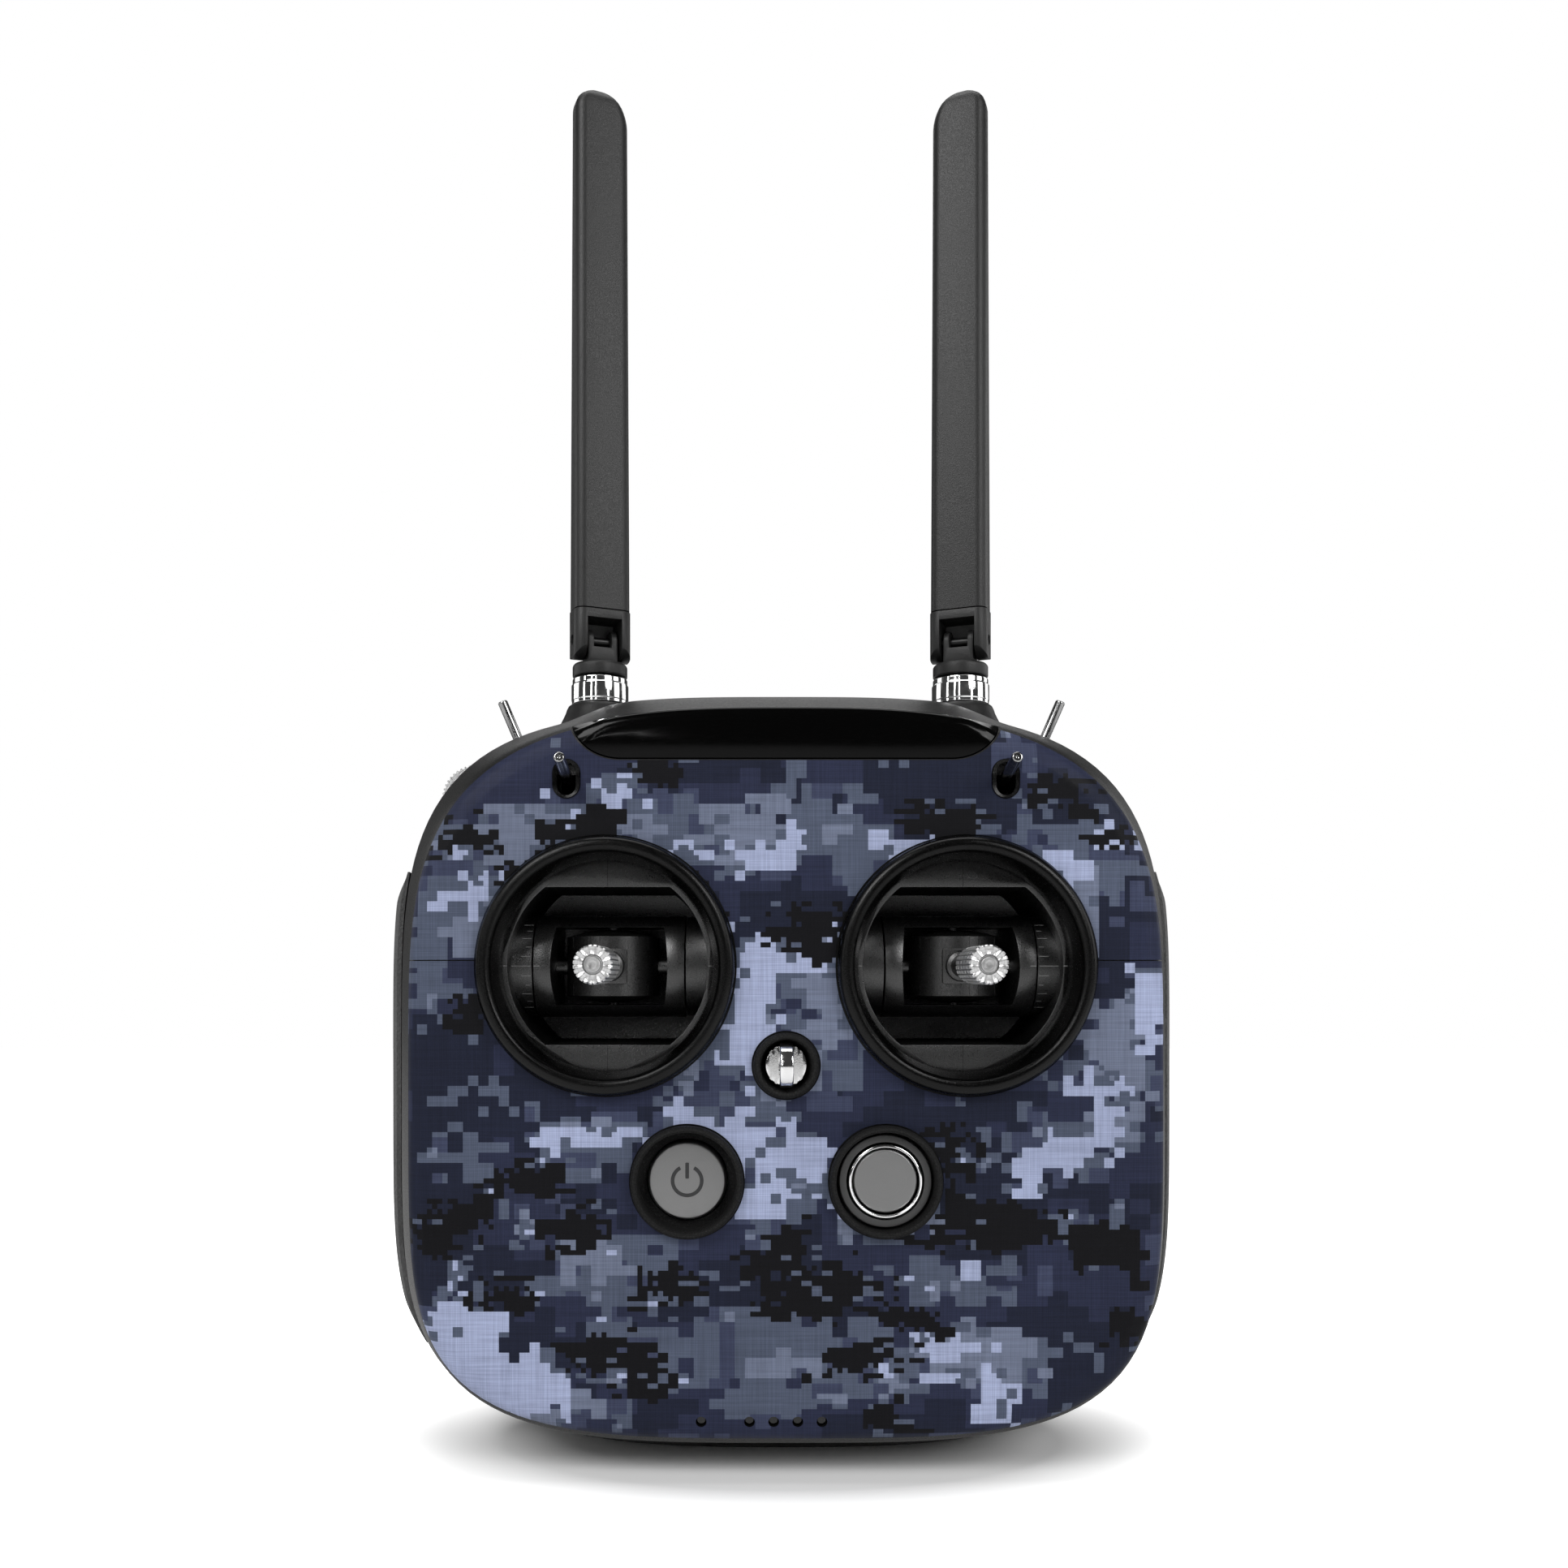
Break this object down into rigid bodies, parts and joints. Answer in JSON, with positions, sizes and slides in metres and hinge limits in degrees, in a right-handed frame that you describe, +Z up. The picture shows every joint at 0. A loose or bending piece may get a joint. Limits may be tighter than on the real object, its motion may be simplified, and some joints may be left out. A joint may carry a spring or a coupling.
{
  "type": "radio transmitter controller",
  "caption": "Hand-held radio transmitter with stick gimbals, buttons, toggles, dials, side grips and folding antennas, its face covered by a camouflage skin.",
  "frame": {"origin": "centre of the flat that the case rests on", "axes": "+X to the user's right, -Y the face with the sticks, +Z up along the antennas"},
  "size_m": [0.1776, 0.0815, 0.3095],
  "materials": {
    "skin": "printed vinyl with a woven look, digital camouflage",
    "fascia": "polished black",
    "grip": "fine leather-like grain",
    "gimbal": "fine spark-eroded texture",
    "aluminium": "turned and knurled",
    "chrome": "polished",
    "bezel": "textured",
    "button": "satin metallic grey",
    "antenna": "satin charcoal",
    "light": "smoked clear",
    "board": "solder mask",
    "battery": "shrink wrap",
    "lead": "smooth",
    "shell": "fine texture"
  },
  "bodies": {
    "case": {"antenna_nut_left": "chrome", "antenna_nut_right": "chrome", "battery_pack": "battery", "case_screw_left_high": "chrome", "case_screw_left_low": "chrome", "case_screw_right_high": "chrome", "case_screw_right_low": "chrome", "coax_left": "lead", "coax_right": "lead", "face_toggle_body_left": "shell", "face_toggle_body_right": "shell", "front_shell": "shell", "front_skin": "skin", "gimbal_housing_left": "gimbal", "gimbal_housing_right": "gimbal", "gimbal_ring_left": "gimbal", "gimbal_ring_right": "gimbal", "grip_left": "grip", "grip_right": "grip", "light_guide": "light", "main_board": "board", "port_panel": "shell", "power_bezel": "bezel", "rear_shell": "shell", "return_bezel": "bezel", "return_light_ring": "shell", "return_trim_ring": "chrome", "shoulder_toggle_body_left": "shell", "shoulder_toggle_body_right": "shell", "strap_bezel": "bezel", "strap_lug": "chrome", "top_fascia": "fascia"},
    "left_yoke": {"gimbal_yoke_left": "gimbal"},
    "left_stick": {"gimbal_drum_left": "gimbal", "stick_shaft_left": "gimbal"},
    "left_stick_end": {"stick_end_left": "aluminium"},
    "right_yoke": {"gimbal_yoke_right": "gimbal"},
    "right_stick": {"gimbal_drum_right": "gimbal", "stick_shaft_right": "gimbal"},
    "right_stick_end": {"stick_end_right": "aluminium"},
    "power_button": {"power_button": "button"},
    "return_button": {"return_button": "button"},
    "face_toggle_lever_left": {"face_toggle_lever_left": "chrome"},
    "shoulder_toggle_lever_left": {"shoulder_toggle_lever_left": "chrome"},
    "face_toggle_lever_right": {"face_toggle_lever_right": "chrome"},
    "shoulder_toggle_lever_right": {"shoulder_toggle_lever_right": "chrome"},
    "left_dial": {"left_dial": "aluminium"},
    "right_dial": {"right_dial": "aluminium"},
    "shoulder_button_left": {"shoulder_button_left": "button"},
    "back_button_left": {"back_button_left": "shell"},
    "shoulder_button_right": {"shoulder_button_right": "button"},
    "back_button_right": {"back_button_right": "shell"},
    "left_antenna_base": {"antenna_knuckle_left": "antenna", "antenna_pin_left": "chrome"},
    "left_antenna": {"antenna_fork_left": "antenna", "antenna_blade_left": "antenna"},
    "right_antenna_base": {"antenna_knuckle_right": "antenna", "antenna_pin_right": "chrome"},
    "right_antenna": {"antenna_fork_right": "antenna", "antenna_blade_right": "antenna"}
  },
  "joints": [
    {"name": "left_stick_pitch", "type": "hinge", "parent": "case", "child": "left_yoke", "pos_m": [-0.037, -0.011, 0.1065], "axis": [1, 0, 0], "range_deg": [-22, 22], "stiffness_Nm_per_rad": 0.15},
    {"name": "left_stick_yaw", "type": "hinge", "parent": "left_yoke", "child": "left_stick", "pos_m": [-0.037, -0.011, 0.1065], "axis": [0, 0, 1], "range_deg": [-22, 22], "stiffness_Nm_per_rad": 0.15},
    {"name": "left_stick_length", "type": "slide", "parent": "left_stick", "child": "left_stick_end", "axis": [0, -1, 0], "range_m": [0, 0.003]},
    {"name": "right_stick_pitch", "type": "hinge", "parent": "case", "child": "right_yoke", "pos_m": [0.037, -0.011, 0.1065], "axis": [1, 0, 0], "range_deg": [-22, 22], "stiffness_Nm_per_rad": 0.15},
    {"name": "right_stick_yaw", "type": "hinge", "parent": "right_yoke", "child": "right_stick", "pos_m": [0.037, -0.011, 0.1065], "axis": [0, 0, 1], "range_deg": [-22, 22], "stiffness_Nm_per_rad": 0.15},
    {"name": "right_stick_length", "type": "slide", "parent": "right_stick", "child": "right_stick_end", "axis": [0, -1, 0], "range_m": [0, 0.003]},
    {"name": "power_press", "type": "slide", "parent": "case", "child": "power_button", "axis": [0, 1, 0], "range_m": [0, 0.001], "stiffness_N_per_m": 300},
    {"name": "return_press", "type": "slide", "parent": "case", "child": "return_button", "axis": [0, 1, 0], "range_m": [0, 0.001], "stiffness_N_per_m": 300},
    {"name": "left_face_toggle", "type": "hinge", "parent": "case", "child": "face_toggle_lever_left", "pos_m": [-0.045, -0.022, 0.144], "axis": [1, 0, 0], "range_deg": [0, 22]},
    {"name": "left_shoulder_toggle", "type": "hinge", "parent": "case", "child": "shoulder_toggle_lever_left", "pos_m": [-0.05775, 0.002, 0.15315], "axis": [0.9272, 0, 0.3746], "range_deg": [-22, 0]},
    {"name": "right_face_toggle", "type": "hinge", "parent": "case", "child": "face_toggle_lever_right", "pos_m": [0.045, -0.022, 0.144], "axis": [1, 0, 0], "range_deg": [0, 22]},
    {"name": "right_shoulder_toggle", "type": "hinge", "parent": "case", "child": "shoulder_toggle_lever_right", "pos_m": [0.05775, 0.002, 0.15315], "axis": [0.9272, 0, -0.3746], "range_deg": [-22, 0]},
    {"name": "left_dial_turn", "type": "hinge", "parent": "case", "child": "left_dial", "pos_m": [-0.06953, 0.004, 0.14474], "axis": [0, 1, 0], "range_deg": [-30, 30], "stiffness_Nm_per_rad": 0.005},
    {"name": "right_dial_turn", "type": "hinge", "parent": "case", "child": "right_dial", "pos_m": [0.06905, 0.011, 0.14386], "axis": [0, 1, 0], "continuous": true},
    {"name": "left_shoulder_press", "type": "slide", "parent": "case", "child": "shoulder_button_left", "axis": [0.9551, 0, -0.2962], "range_m": [0, 0.0008], "stiffness_N_per_m": 200},
    {"name": "left_back_press", "type": "slide", "parent": "case", "child": "back_button_left", "axis": [0, -1, 0], "range_m": [0, 0.0008], "stiffness_N_per_m": 200},
    {"name": "right_shoulder_press", "type": "slide", "parent": "case", "child": "shoulder_button_right", "axis": [-0.9551, 0, -0.2962], "range_m": [0, 0.0008], "stiffness_N_per_m": 200},
    {"name": "right_back_press", "type": "slide", "parent": "case", "child": "back_button_right", "axis": [0, -1, 0], "range_m": [0, 0.0008], "stiffness_N_per_m": 200},
    {"name": "left_antenna_swivel", "type": "hinge", "parent": "case", "child": "left_antenna_base", "pos_m": [-0.042, 0.008, 0.1735], "axis": [0, 0, -1], "range_deg": [-90, 90]},
    {"name": "left_antenna_fold", "type": "hinge", "parent": "left_antenna_base", "child": "left_antenna", "pos_m": [-0.042, 0.008, 0.1822], "axis": [0.9272, 0.3746, 0], "range_deg": [0, 90]},
    {"name": "right_antenna_swivel", "type": "hinge", "parent": "case", "child": "right_antenna_base", "pos_m": [0.042, 0.008, 0.1735], "axis": [0, 0, 1], "range_deg": [-90, 90]},
    {"name": "right_antenna_fold", "type": "hinge", "parent": "right_antenna_base", "child": "right_antenna", "pos_m": [0.042, 0.008, 0.1822], "axis": [0.9272, -0.3746, 0], "range_deg": [0, 90]}
  ]
}
